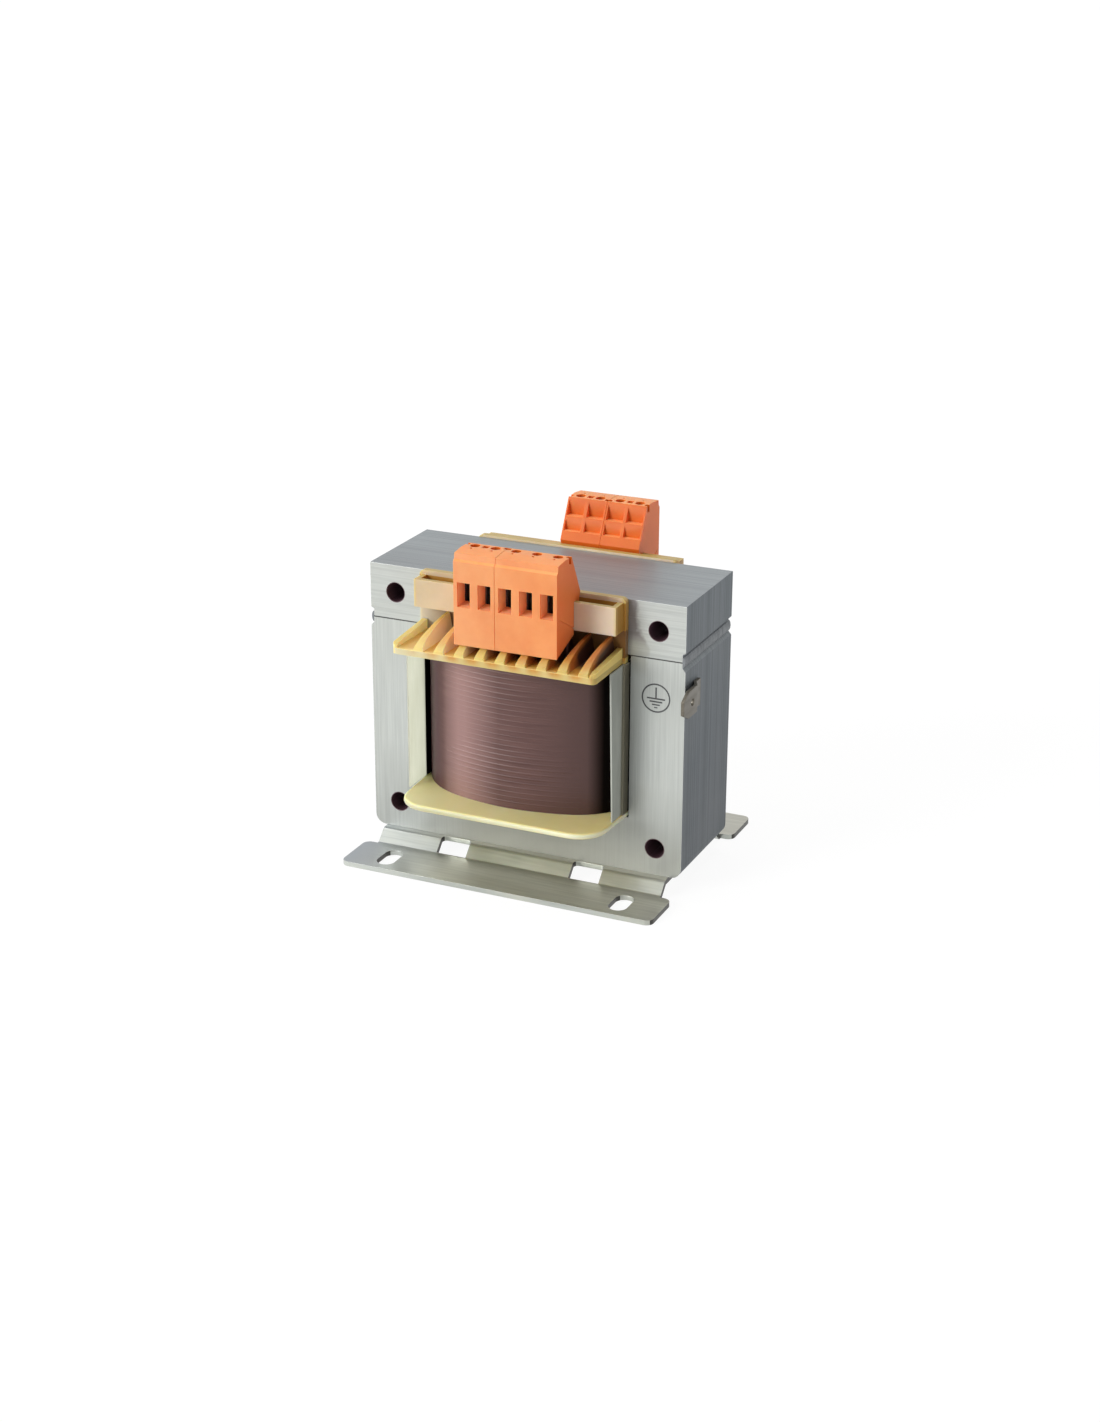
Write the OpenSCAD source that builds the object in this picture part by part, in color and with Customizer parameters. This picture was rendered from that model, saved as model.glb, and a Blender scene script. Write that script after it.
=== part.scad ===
// Laminated chassis transformer: an EI core on two welded feet, with a wound bobbin
// that carries screw terminals in front and behind. The origin is the centre of the
// mounting plane under the feet, Z is up, and the primary terminals face -Y.

/* [Core] */
// Width of the centre limb, from which the whole lamination follows
limb_w = 26; // [24:0.5:28]
// Depth of the stack of laminations
stack_d = 28.5; // [24:0.5:32]
// Radius of the lower outer corners of the laminations
core_corner_r = 2.5; // [1:0.1:4]
// Diameter of the four through holes
core_hole_d = 4.5; // [3.5:0.1:5.5]

/* [Seam weld] */
// Height of the groove that the weld seam lies in
groove_h = 4.4; // [3:0.1:6]
// Depth of that groove
groove_depth = 0.75; // [0.5:0.05:1.2]
// Height of the weld bead
bead_h = 2.6; // [1.5:0.1:2.8]
// How far the bead stands up from the groove's floor
bead_t = 0.55; // [0.3:0.05:0.7]

/* [Feet] */
// Thickness of the feet's sheet steel
foot_sheet = 1.2; // [0.8:0.1:1.6]
// Height of the core's underside above the mounting plane
foot_h = 3.9; // [3.4:0.1:6]
// How far the leg and riser end inside the core's sides
leg_inset = 3; // [2:0.5:9]
// How far the leg reaches in under the core
leg_tuck = 9; // [6:0.5:11]
// How far the leg stands out of the core before it bends down
leg_ledge = 1.9; // [1.2:0.1:3]
// Slope of the riser
riser_angle = 45; // [35:1:60]
// Inner radius of the two bends
bend_r = 0.6; // [0.3:0.1:1]
// Depth of the flange, from the riser to its free edge
flange_d = 13.1; // [11:0.1:16]
// Radius of the flange's corners
flange_r = 1.8; // [0.5:0.1:3]
// Width of the fixing slots
slot_w = 4.4; // [3.4:0.1:5.4]
// Length of the fixing slots, end to end
slot_l = 8.2; // [6.5:0.1:9]
// Distance from a flange's end to the middle of the slot near it
slot_end_set = 9.7; // [7:0.1:14]
// Width of the two openings in each riser
riser_window_w = 7.5; // [5:0.1:9]
// Distance between those two openings
riser_window_pitch = 33.8; // [26:0.2:38]

/* [Bobbin] */
// Wall of the barrel round the centre limb
barrel_wall = 1.2; // [0.8:0.1:1.6]
// Thickness of the two flanges
cheek_t = 1.45; // [1:0.05:1.8]
// How far the flanges stand out of the core's face
cheek_reach = 16.95; // [15.5:0.05:19]
// Corner radius of the lower flange
low_cheek_r = 7; // [3:0.1:9]
// Corner radius of the upper flange
top_cheek_r = 1.2; // [0.5:0.1:3]
// Thickness of the upright wall behind each terminal rail
upright_t = 1.55; // [1:0.05:1.9]
// How far the upright wall stands above the core
upright_proud = 0.5; // [0:0.1:1.5]
// Width of the slot in the terminal rail
rail_slot_w = 2.9; // [2.4:0.1:3.5]
// Thickness of the rail's outer wall
rail_wall = 1.2; // [0.8:0.1:1.6]
// Height of the rail
rail_h = 6.5; // [5.5:0.1:7.5]
// Height of the rail's underside above the upper flange
rail_lift = 6.2; // [5.8:0.1:6.6]
// Height of the comb's fins at the upright wall
fin_h = 4.7; // [3:0.1:5.4]
// Width of a fin at its foot
fin_w = 2.4; // [1.6:0.1:2.6]
// Width of a fin's crest
fin_crest = 0.6; // [0.4:0.1:1]
// Thickness of the rib along each end of the comb
end_rib_t = 1.2; // [0.8:0.1:1.4]
// Height of that rib
end_rib_h = 2.2; // [1:0.1:3]

/* [Winding] */
// Depth of the winding in front of the barrel
coil_front = 8.2; // [6.5:0.1:9]
// Gap between the winding and the outer limb
coil_air = 1.4; // [1.2:0.1:2.2]
// Thickness of the insulation between the two windings
insulation_t = 0.4; // [0.2:0.05:0.8]
// Thickness of the liners and of the sheet beside the winding
liner_t = 0.35; // [0.2:0.05:0.4]
// How far the left liner stands out of the core's faces
left_liner_proud = 8.1; // [2:0.1:9]
// How far the right liner stands out of the core's faces
right_liner_proud = 2.7; // [1:0.1:9]
// How far the side sheet stands out of the core's faces at its upper edge
sheet_top_proud = 9; // [5:0.1:10]
// How far it stands out at its lower edge
sheet_low_proud = 7.3; // [5:0.1:9]
// Diameter of a lead wire
lead_d = 0.7; // [0.5:0.05:0.9]

/* [Terminals] */
// Distance from one pole to the next
pole_pitch = 5; // [4.8:0.02:5.08]
// Depth of a housing in front of its rail
block_d = 9.1; // [8.6:0.1:10]
// Height of a housing
block_h = 21.4; // [20.5:0.1:23]
// How far the primary terminals sit to the right of the middle
front_shift = 2.4; // [0:0.1:5]
// Width of a wire entry
entry_w = 3.1; // [2.6:0.1:3.4]
// Height of a wire entry
entry_h = 5.7; // [5:0.1:6.4]
// Diameter of the hole over a clamp screw
screw_hole_d = 2.3; // [2:0.1:2.8]

/* [Earth tab] */
// Width of the blade
tab_w = 6.3; // [4.8:0.1:6.3]
// Thickness of the blade
tab_t = 0.8; // [0.5:0.1:1]
// Gap between the blade and the core
tab_gap = 1; // [0.6:0.1:1.4]
// How far the blade reaches past the core's front face
tab_reach = 5; // [1:0.1:7]
// How far the blade's middle lies below the joint of the laminations
tab_drop = 8.8; // [6.5:0.1:14]

/* [Hidden] */
// Poles in the two rows of terminals
primary_poles = 5;
secondary_poles = 4;
$fn = 40;

// Overrun of a cut past the face it opens in
cut = 0.5;
// Steps in a rounded corner of an outline
arc_steps = 6;
// Clearance between parts that push together
fit = 0.1;

// Shares of the centre limb that give a pair of laminations cut without waste
core_w_share = 3;
window_w_share = 0.5;
window_h_share = 1.5;
yoke_share = 0.5;
core_w = core_w_share * limb_w;
window_w = window_w_share * limb_w;
window_h = window_h_share * limb_w;
yoke_h = yoke_share * limb_w;
window_x = limb_w / 2 + window_w;
joint_z = yoke_h + window_h;
core_h = joint_z + yoke_h;
core_y = stack_d / 2;
core_hole_x = core_w / 2 - yoke_h / 2;
core_hole_low = yoke_h / 2;
core_hole_high = core_h - yoke_h / 2;
// Share of the groove's height that its sloped lower edge takes
groove_slope_share = 0.2;

// Foot: its leg and slots from the core's width, then its outline, seen from the side
leg_w = core_w - 2 * leg_inset;
slot_pitch = core_w - 2 * slot_end_set;
bend_set = foot_sheet * tan(riser_angle / 2);
riser_run = (foot_h - foot_sheet) / tan(riser_angle);
ledge_y = core_y + leg_ledge;
riser_y = ledge_y + riser_run;
// Where the wide flange starts, clear of the bend
flange_y = riser_y + bend_r;
foot_y = riser_y + flange_d;
// How far the slots lie outwards of the flange's middle
slot_inset = 0.35;
slot_y = riser_y + flange_d / 2 + slot_inset;
riser_window_r = 1.2;
// How far an opening in the riser starts in front of the core's face
riser_window_set = 0.4;

// Bobbin: the barrel, the flanges and the levels that follow from them
limb_play = 0.3;
bobbin_play = 0.2;
barrel_x = limb_w / 2 + limb_play + barrel_wall;
barrel_y = core_y + limb_play + barrel_wall;
low_cheek_x = window_x - limb_play;
// How much narrower each end of the lower flange gets on its way out of the window
cheek_taper = 0.8;
// Gap between the upright wall's ends and the window's sides
upright_play = 0.65;
upright_x = window_x - upright_play;
// How far the upper flange and the rail stay inside the upright wall's ends
upright_in = 0.65;
top_cheek_x = upright_x - upright_in;
cheek_y = core_y + cheek_reach;
low_cheek_top = yoke_h + cheek_t;
top_cheek_top = joint_z - bobbin_play;
top_cheek_low = top_cheek_top - cheek_t;
upright_y = core_y + fit;
upright_top = core_h + upright_proud;
upright_r = 1.2;
slot_in_y = upright_y + upright_t;
slot_out_y = slot_in_y + rail_slot_w;
rail_y = slot_out_y + rail_wall;
rail_low = top_cheek_top + rail_lift;
rail_top = rail_low + rail_h;
// The comb's fins stand a little to the left of each pole, and beyond them
fin_off = 0.4;
// A fin's crest, as shares of the way in from the flange's edge and of its height
fin_crest_shares = [
    [0, 0.13],
    [0.08, 0.31],
    [0.18, 0.47],
    [0.37, 0.67],
    [0.61, 0.85],
    [0.85, 0.97],
    [1, 1]
];
// Share of its height that an end rib keeps at the flange's front edge
end_rib_share = 0.5;

// Winding: half sizes of its layers in plan
coil_x = window_x - coil_air;
coil_y = barrel_y + coil_front;
// Gap between the winding and the upper flange
wind_play = 0.2;
coil_h = top_cheek_low - low_cheek_top - wind_play;
// Share of the winding's depth that the primary takes
primary_share = 0.5;
primary_x = barrel_x + primary_share * (coil_x - barrel_x);
primary_y = barrel_y + primary_share * (coil_y - barrel_y);
// One quarter of the winding's plan, as shares of its half width and half depth
coil_plan_shares = [
    [1, 0.53],
    [0.94, 0.65],
    [0.82, 0.775],
    [0.68, 0.865],
    [0.5, 0.93],
    [0.25, 0.98]
];
// Gaps between a liner and the outer limb, and between the side sheet and the winding
liner_gap = 0.3;
sheet_gap = 0.2;
liner_x = window_x - liner_gap;
sheet_x = coil_x + sheet_gap;

// Terminal housings: their places and the outline of their outer form
block_y = rail_y + fit;
front_y = block_y + block_d;
// Gap between the housings and the comb, and the fins' share of height under their front
fin_gap = 0.25;
fin_front_share = 0.42;
block_low = top_cheek_top + fin_front_share * fin_h + fin_gap;
block_top = block_low + block_h;
// Outer points of a housing's side, from its lower front edge over the top to its nose,
// as shares of its depth and of its height
block_face_shares = [
    [1, 0],
    [1, 0.897],
    [0.945, 0.921],
    [0.923, 0.981],
    [0.54, 1],
    [0.143, 0.995]
];
// Share of the height at which the back ends
back_low_share = 0.21;
heel_z = top_cheek_top + fin_h + 2 * fin_gap;
// The nose over the rail: its distance from the upright wall and from the rail's top
nose_gap = 0.8;
nose_rise = 1.6;
nose_y = slot_in_y + nose_gap;
nose_z = rail_top + nose_rise;
tongue_t = 1.4;
tongue_h = 3.4;
tongue_in_y = slot_out_y - tongue_t - fit;
hook_z = rail_top + fit;
// Wire entry, clamp chamber and screw in each pole
entry_z_share = 0.411;
entry_z = block_low + entry_z_share * block_h;
entry_rise = 0.6;
clamp_w = 3.7;
clamp_d = 4.2;
clamp_h = 7.2;
clamp_wall = 0.6;
clamp_play = 0.1;
clamp_back_wall = 0.9;
clamp_y = block_y + clamp_back_wall;
// How far the clamp's underside lies below the wire entry
clamp_set = 1.2;
clamp_z = entry_z - clamp_set;
screw_y = clamp_y + clamp_d / 2;
screw_head_d = 2.1;
screw_head_h = 1.3;
screw_shank_d = 1.5;
screw_shank_l = 2.6;
screw_slot_w = 0.4;
screw_slot_depth = 0.6;
// Marks moulded into the top of a housing
recess_w = 1.5;
recess_depth = 0.8;
recess_y = screw_y;
dot_d = 0.6;
dot_depth = 0.4;
dot_set = 2.1;
// Notch high in a housing's end, and the line that crosses the end below it
notch_w = 1.2;
notch_h = 1.8;
notch_depth = 0.8;
notch_set = 2.9;
end_line_w = 0.35;
end_line_depth = 0.25;
end_line_share = 0.2;
end_line_slope = 28;
// Two rows of pockets in the sloped face over the rail, as shares of the slope
pocket_shares = [[0.065, 0.435], [0.515, 0.78]];
pocket_rib = 0.8;
lead_y = clamp_y + lead_d / 2;
lead_x = clamp_w / 2 - lead_d / 2 - fit / 2;
lead_play = 0.2;

// Earth tab: the pad behind its joggle, and how far behind the core's front face it bends
tab_z = joint_z - tab_drop;
tab_pad_l = 2.5;
tab_joggle_set = 3;
tab_joggle = 2;
tab_tip_share = 0.5;
tab_taper_l = 3;
tab_hole_d = 1.7;
tab_hole_set = 5.2;

tin = [0.72, 0.70, 0.62];
nylon = [0.88, 0.81, 0.55];
orange = [0.93, 0.55, 0.33];
steel = [0.70, 0.72, 0.71];
enamel = [0.48, 0.37, 0.36];

// A turn of a vector in the plane
function turned(v, angle) =
    [v.x * cos(angle) - v.y * sin(angle), v.x * sin(angle) + v.y * cos(angle)];

function unit(v) = v / norm(v);

// The points that round corner b, which lies between a and c
function round_corner(a, b, c, r) =
    let (
        u = unit(a - b),
        v = unit(c - b),
        half = acos(u * v) / 2,
        centre = b + unit(u + v) * r / sin(half),
        start = b + u * r / tan(half) - centre,
        sweep = (180 - 2 * half) * (cross(u, v) < 0 ? 1 : -1)
    )
    [for (i = [0:arc_steps]) centre + turned(start, sweep * i / arc_steps)];

// An outline with each corner rounded by its own radius; zero leaves it sharp
function rounded(points, radii) =
    let (n = len(points))
    [
        for (i = [0:n - 1])
            each (
                radii[i] == 0
                    ? [points[i]]
                    : round_corner(points[(i + n - 1) % n], points[i], points[(i + 1) % n], radii[i])
            )
    ];

function rectangle(x0, y0, x1, y1) = [[x0, y0], [x1, y0], [x1, y1], [x0, y1]];

// The winding's plan for given half sizes, anticlockwise from the right
function coil_plan(hx, hy) =
    let (n = len(coil_plan_shares), s = coil_plan_shares)
    concat(
        [for (i = [0:n - 1]) [s[i].x * hx, s[i].y * hy]],
        [[0, hy]],
        [for (i = [n - 1:-1:0]) [-s[i].x * hx, s[i].y * hy]],
        [for (i = [0:n - 1]) [-s[i].x * hx, -s[i].y * hy]],
        [[0, -hy]],
        [for (i = [n - 1:-1:0]) [s[i].x * hx, -s[i].y * hy]]
    );

// Lifts what is measured from the core's underside to its height over the feet
module on_feet() {
    translate([0, 0, foot_h]) children();
}

// Turns a shape drawn towards +Y to the front, side -1, or leaves it behind, side 1
module facing(side) {
    mirror([0, side < 0 ? 1 : 0, 0]) children();
}

// Extrudes an outline drawn in Y and Z along X, from x0 over a width
module along_x(x0, width) {
    translate([x0, 0, 0]) rotate([90, 0, 90]) linear_extrude(width) children();
}

// Extrudes an outline drawn in X and Z through the stack
module through_stack() {
    translate([0, core_y, 0]) rotate([90, 0, 0]) linear_extrude(stack_d) children();
}

module core_holes() {
    for (x = [-core_hole_x, core_hole_x], z = [core_hole_low, core_hole_high])
        translate([x, core_y + cut, z]) rotate([90, 0, 0])
            cylinder(d = core_hole_d, h = stack_d + 2 * cut);
}

// The groove along both sides of the joint, steep above and sloped below
module weld_grooves() {
    low = joint_z - groove_h / 2;
    high = joint_z + groove_h / 2;
    floor_x = core_w / 2 - groove_depth;
    for (side = [0, 1])
        mirror([side, 0, 0]) through_stack_cut()
            polygon([
                [core_w / 2, low],
                [core_w / 2 + cut, low],
                [core_w / 2 + cut, high],
                [core_w / 2, high],
                [floor_x, high - groove_depth / 2],
                [floor_x, low + groove_slope_share * groove_h]
            ]);
}

module through_stack_cut() {
    translate([0, core_y + cut, 0]) rotate([90, 0, 0])
        linear_extrude(stack_d + 2 * cut) children();
}

// The stack of E laminations, open at the top
module e_core() {
    color(steel) on_feet() difference() {
        through_stack() difference() {
            polygon(rounded(
                rectangle(-core_w / 2, 0, core_w / 2, joint_z),
                [core_corner_r, core_corner_r, 0, 0]
            ));
            for (side = [0, 1])
                mirror([side, 0]) translate([limb_w / 2, yoke_h])
                    square([window_w, window_h + cut]);
        }
        core_holes();
        weld_grooves();
    }
}

// The stack of I laminations that closes the core
module yoke() {
    color(steel) on_feet() difference() {
        through_stack() polygon(rectangle(-core_w / 2, joint_z, core_w / 2, core_h));
        core_holes();
        weld_grooves();
    }
}

// The weld bead on the groove's floor, a low arch across the joint
module weld_bead(side) {
    floor_x = core_w / 2 - groove_depth;
    crown = [for (i = [0:arc_steps]) 180 * i / arc_steps];
    color("dimgray") on_feet() mirror([side < 0 ? 1 : 0, 0, 0])
        through_stack() polygon([
            for (a = crown) [floor_x + bead_t * sin(a), joint_z + bead_h / 2 * cos(a)]
        ]);
}

// One foot: a strip with two bends, wider at the flange that is screwed down
module foot(side) {
    color(steel) facing(side) difference() {
        union() {
            along_x(-leg_w / 2, leg_w) polygon(rounded(
                [
                    [core_y - leg_tuck, foot_h],
                    [core_y - leg_tuck, foot_h - foot_sheet],
                    [ledge_y - bend_set, foot_h - foot_sheet],
                    [riser_y - bend_set, 0],
                    [foot_y - flange_d / 2, 0],
                    [foot_y - flange_d / 2, foot_sheet],
                    [riser_y, foot_sheet],
                    [ledge_y, foot_h]
                ],
                [0, 0, bend_r, bend_r + foot_sheet, 0, 0, bend_r, bend_r + foot_sheet]
            ));
            linear_extrude(foot_sheet) polygon(rounded(
                rectangle(-core_w / 2, flange_y, core_w / 2, foot_y),
                [flange_r, flange_r, flange_r, flange_r]
            ));
        }
        for (x = [-slot_pitch / 2, slot_pitch / 2])
            translate([x, slot_y, -cut]) fixing_slot(foot_sheet + 2 * cut);
        for (x = [-riser_window_pitch / 2, riser_window_pitch / 2])
            translate([x, 0, -cut]) riser_window();
    }
}

module fixing_slot(h) {
    run = slot_l - slot_w;
    for (y = [-run / 2, run / 2])
        translate([0, y, 0]) cylinder(d = slot_w, h = h);
    translate([-slot_w / 2, -run / 2, 0]) cube([slot_w, run, h]);
}

// An opening punched through the ledge and riser, down to the flange
module riser_window() {
    linear_extrude(foot_h + 2 * cut) polygon(rounded(
        rectangle(-riser_window_w / 2, core_y + riser_window_set, riser_window_w / 2, riser_y),
        [riser_window_r, riser_window_r, 0, 0]
    ));
}

// Plan of a flange, full in the window and narrower towards its outer corners
function cheek_plan(half_x, taper, corner_r) =
    let (end_x = half_x - taper)
    rounded(
        [
            [-end_x, -cheek_y],
            [end_x, -cheek_y],
            [half_x, -core_y],
            [half_x, core_y],
            [end_x, cheek_y],
            [-end_x, cheek_y],
            [-half_x, core_y],
            [-half_x, -core_y]
        ],
        [corner_r, corner_r, 0, 0, corner_r, corner_r, 0, 0]
    );

// A flange of the bobbin, with the hole that the centre limb passes through
module cheek(half_x, taper, corner_r) {
    linear_extrude(cheek_t) difference() {
        polygon(cheek_plan(half_x, taper, corner_r));
        limb_opening();
    }
}

module limb_opening() {
    square([limb_w + 2 * limb_play, stack_d + 2 * limb_play], center = true);
}

// The upright wall, the slotted rail that holds the housings, and the comb below it
module terminal_carrier() {
    rotate([90, 0, 0]) translate([0, 0, -upright_y - upright_t])
        linear_extrude(upright_t) polygon(rounded(
            rectangle(-upright_x, top_cheek_low, upright_x, upright_top),
            [0, 0, upright_r, upright_r]
        ));
    difference() {
        translate([-top_cheek_x, slot_in_y - fit, rail_low])
            cube([2 * top_cheek_x, rail_y - slot_in_y + fit, rail_h]);
        translate([-top_cheek_x + rail_wall, slot_in_y, rail_low + rail_wall])
            cube([2 * (top_cheek_x - rail_wall), rail_slot_w, rail_h]);
    }
    for (x = fin_x) translate([x, 0, 0]) comb_fin();
    for (end = [0, 1]) mirror([end, 0, 0]) end_rib();
}

// A fin of the comb: it rises from the flange's edge to the upright wall, and has draft
module comb_fin() {
    way = cheek_y - slot_in_y;
    intersection() {
        along_x(-fin_w / 2, fin_w) polygon(concat(
            [[slot_in_y - fit, top_cheek_top - fit], [cheek_y, top_cheek_top - fit]],
            [
                for (s = fin_crest_shares)
                    [cheek_y - s.x * way, top_cheek_top + s.y * fin_h]
            ],
            [[slot_in_y - fit, top_cheek_top + fin_h]]
        ));
        translate([0, cheek_y + cut, 0]) rotate([90, 0, 0])
            linear_extrude(way + 2 * cut) polygon([
                [-fin_w / 2, top_cheek_top - fit],
                [fin_w / 2, top_cheek_top - fit],
                [fin_crest / 2, top_cheek_top + fin_h],
                [-fin_crest / 2, top_cheek_top + fin_h]
            ]);
    }
}

// The rib along the right end of the comb, lower towards the flange's rounded corner
module end_rib() {
    intersection() {
        along_x(top_cheek_x - end_rib_t, end_rib_t) polygon([
            [slot_in_y - fit, top_cheek_top - fit],
            [cheek_y, top_cheek_top - fit],
            [cheek_y, top_cheek_top + end_rib_share * end_rib_share * end_rib_h],
            [cheek_y - end_rib_t, top_cheek_top + end_rib_share * end_rib_h],
            [slot_in_y - fit, top_cheek_top + end_rib_h]
        ]);
        translate([0, 0, top_cheek_low]) linear_extrude(cheek_t + end_rib_h)
            polygon(cheek_plan(top_cheek_x, 0, top_cheek_r));
    }
}

// The one-piece bobbin: barrel, two flanges and a terminal carrier on each side
module bobbin() {
    color(nylon) on_feet() difference() {
        union() {
            translate([0, 0, yoke_h]) cheek(low_cheek_x, cheek_taper, low_cheek_r);
            translate([0, 0, top_cheek_low]) cheek(top_cheek_x, 0, top_cheek_r);
            translate([0, 0, yoke_h]) linear_extrude(top_cheek_top - yoke_h) difference() {
                square([2 * barrel_x, 2 * barrel_y], center = true);
                limb_opening();
            }
            for (side = [-1, 1]) facing(side) terminal_carrier();
        }
        for (x = primary_pole_x) lead_hole(x + lead_x, -lead_y);
        for (x = secondary_pole_x) lead_hole(x + lead_x, lead_y);
    }
}

module lead_hole(x, y) {
    translate([x, y, top_cheek_low - cut])
        cylinder(d = lead_d + 2 * lead_play, h = cheek_t + 2 * cut);
}

// A winding's layer as a plain ring, between two plans
module coil_ring(h) {
    translate([0, 0, low_cheek_top]) linear_extrude(h) difference() {
        children(0);
        children(1);
    }
}

module primary_winding() {
    color(enamel) on_feet() coil_ring(coil_h) {
        polygon(coil_plan(primary_x, primary_y));
        square([2 * (barrel_x + fit), 2 * (barrel_y + fit)], center = true);
    }
}

module interwinding_insulation() {
    color("wheat") on_feet() coil_ring(coil_h) {
        polygon(coil_plan(primary_x + insulation_t, primary_y + insulation_t));
        polygon(coil_plan(primary_x, primary_y));
    }
}

// The outer winding, which fills the space between the flanges
module secondary_winding() {
    color(enamel) on_feet() coil_ring(coil_h) {
        polygon(coil_plan(coil_x, coil_y));
        polygon(coil_plan(primary_x + insulation_t, primary_y + insulation_t));
    }
}

// A sheet that stands on the lower flange, with its inner face at x; its front and back
// edges stand out of the core by one amount below and another above
module sheet_on_edge(x, low_proud, top_proud) {
    low_y = core_y + low_proud;
    top_y = core_y + top_proud;
    along_x(x, liner_t) polygon([
        [-low_y, low_cheek_top],
        [low_y, low_cheek_top],
        [top_y, top_cheek_low - fit],
        [-top_y, top_cheek_low - fit]
    ]);
}

// The pale strip that lines an outer limb
module window_liner(side, proud) {
    color("beige") on_feet() mirror([side < 0 ? 1 : 0, 0, 0])
        sheet_on_edge(liner_x - liner_t, proud, proud);
}

// The darker sheet close beside the winding, on its right
module winding_side_sheet() {
    color("darkseagreen") on_feet() sheet_on_edge(sheet_x, sheet_low_proud, sheet_top_proud);
}

// Side outline of a housing: the outer form, then the hook that drops into the rail
function block_outline() = concat(
    [for (s = block_face_shares) [block_y + s.x * block_d, block_low + s.y * block_h]],
    [
        [nose_y, nose_z],
        [tongue_in_y, hook_z + fit],
        [tongue_in_y, rail_top - tongue_h],
        [tongue_in_y + tongue_t, rail_top - tongue_h],
        [tongue_in_y + tongue_t, hook_z],
        [block_y, hook_z],
        [block_y, block_low + back_low_share * block_h],
        [block_y + fit, heel_z]
    ]
);

// The slope from the housing's nose up to its top, at a share of the way down
function slope_point(share) =
    let (
        top = [
            block_y + block_face_shares[5].x * block_d,
            block_low + block_face_shares[5].y * block_h
        ],
        nose = [nose_y, nose_z]
    )
    top + share * (nose - top);

// What is cut from one pole of a housing, at its middle
module pole_cuts() {
    along_x(-entry_w / 2, entry_w) polygon([
        [clamp_y, entry_z + entry_rise],
        [front_y + cut, entry_z],
        [front_y + cut, entry_z + entry_h],
        [clamp_y, entry_z + entry_h]
    ]);
    translate([-clamp_w / 2 - clamp_play, clamp_y - clamp_play, clamp_z - clamp_play])
        cube([clamp_w + 2 * clamp_play, clamp_d + 2 * clamp_play, clamp_h + 2 * clamp_play]);
    translate([0, screw_y, clamp_z + clamp_h])
        cylinder(d = screw_hole_d, h = block_top - clamp_z - clamp_h + cut);
    translate([lead_x, lead_y, block_low - cut])
        cylinder(d = lead_d + 2 * lead_play, h = clamp_z - block_low + cut);
    translate([0, screw_y + dot_set, block_top - dot_depth])
        cylinder(d = dot_d, h = dot_depth + cut);
    for (s = pocket_shares)
        along_x(-pole_pitch / 2 + pocket_rib / 2, pole_pitch - pocket_rib) polygon([
            slope_point(s[0]),
            [slope_point(s[0]).x, slope_point(s[1]).y],
            slope_point(s[1]),
            slope_point(s[1]) - [cut, 0],
            slope_point(s[0]) - [cut, 0]
        ]);
}

// The moulded notch and line that both ends of a housing carry
module end_cuts(width) {
    for (end = [0, 1])
        translate([end * width, 0, 0]) mirror([end, 0, 0]) {
            translate([-cut, screw_y - notch_set / 2, block_top - notch_h])
                cube([notch_depth + cut, notch_w, notch_h + cut]);
            translate([-cut, block_y, block_low + end_line_share * block_h])
                rotate([end_line_slope, 0, 0])
                    cube([end_line_depth + cut, block_d, end_line_w]);
        }
}

// A terminal housing for a number of poles, from x0 to the right
module housing(side, x0, poles, recess_after) {
    width = poles * pole_pitch - fit;
    color(orange) on_feet() facing(side) difference() {
        along_x(x0, width) polygon(block_outline());
        for (pole = [0:poles - 1])
            translate([x0 + (pole + 0.5) * pole_pitch - fit / 2, 0, 0]) pole_cuts();
        for (gap = recess_after)
            translate([x0 + gap * pole_pitch - recess_w / 2, recess_y - recess_w / 2,
                block_top - recess_depth])
                cube([recess_w, recess_w, recess_depth + cut]);
        translate([x0, 0, 0]) end_cuts(width);
    }
}

// The two rows of poles, from left to right
primary_x0 = front_shift - primary_poles / 2 * pole_pitch;
secondary_x0 = primary_x0 + pole_pitch;
primary_pole_x = [
    for (i = [0:primary_poles - 1]) primary_x0 + (i + 0.5) * pole_pitch - fit / 2
];
secondary_pole_x = [
    for (i = [0:secondary_poles - 1]) secondary_x0 + (i + 0.5) * pole_pitch - fit / 2
];

// The comb's fins that find room on the upper flange
fin_x = [
    for (i = [-primary_poles:2 * primary_poles])
        let (x = primary_pole_x[0] - fin_off + i * pole_pitch)
        if (abs(x) + fin_w / 2 < top_cheek_x - end_rib_t) x
];

// The square box clamp that a screw closes on the wire
module clamp_box(side, x) {
    color("slategray") on_feet() facing(side) translate([x, clamp_y, clamp_z]) difference() {
        translate([-clamp_w / 2, 0, 0]) cube([clamp_w, clamp_d, clamp_h]);
        translate([-clamp_w / 2 + clamp_wall, -cut, clamp_wall])
            cube([clamp_w - 2 * clamp_wall, clamp_d + 2 * cut, clamp_h - 3 * clamp_wall]);
        translate([0, clamp_d / 2, clamp_h - 3 * clamp_wall])
            cylinder(d = screw_shank_d + 2 * fit, h = 3 * clamp_wall + cut);
    }
}

// The slotted screw, resting with its head on the clamp
module clamp_screw(side, x) {
    color("lightsteelblue") on_feet() facing(side)
        translate([x, screw_y, clamp_z + clamp_h]) difference() {
            union() {
                cylinder(d = screw_head_d, h = screw_head_h);
                translate([0, 0, -screw_shank_l])
                    cylinder(d = screw_shank_d, h = screw_shank_l);
            }
            translate([-screw_head_d / 2 - cut, -screw_slot_w / 2, screw_head_h - screw_slot_depth])
                cube([screw_head_d + 2 * cut, screw_slot_w, screw_slot_depth + cut]);
        }
}

// The end of the winding's wire, from the winding up to the clamp's underside
module lead(side, x) {
    start = low_cheek_top + coil_h;
    color(enamel) on_feet() facing(side) translate([x + lead_x, lead_y, start])
        cylinder(d = lead_d, h = clamp_z - start);
}

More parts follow.
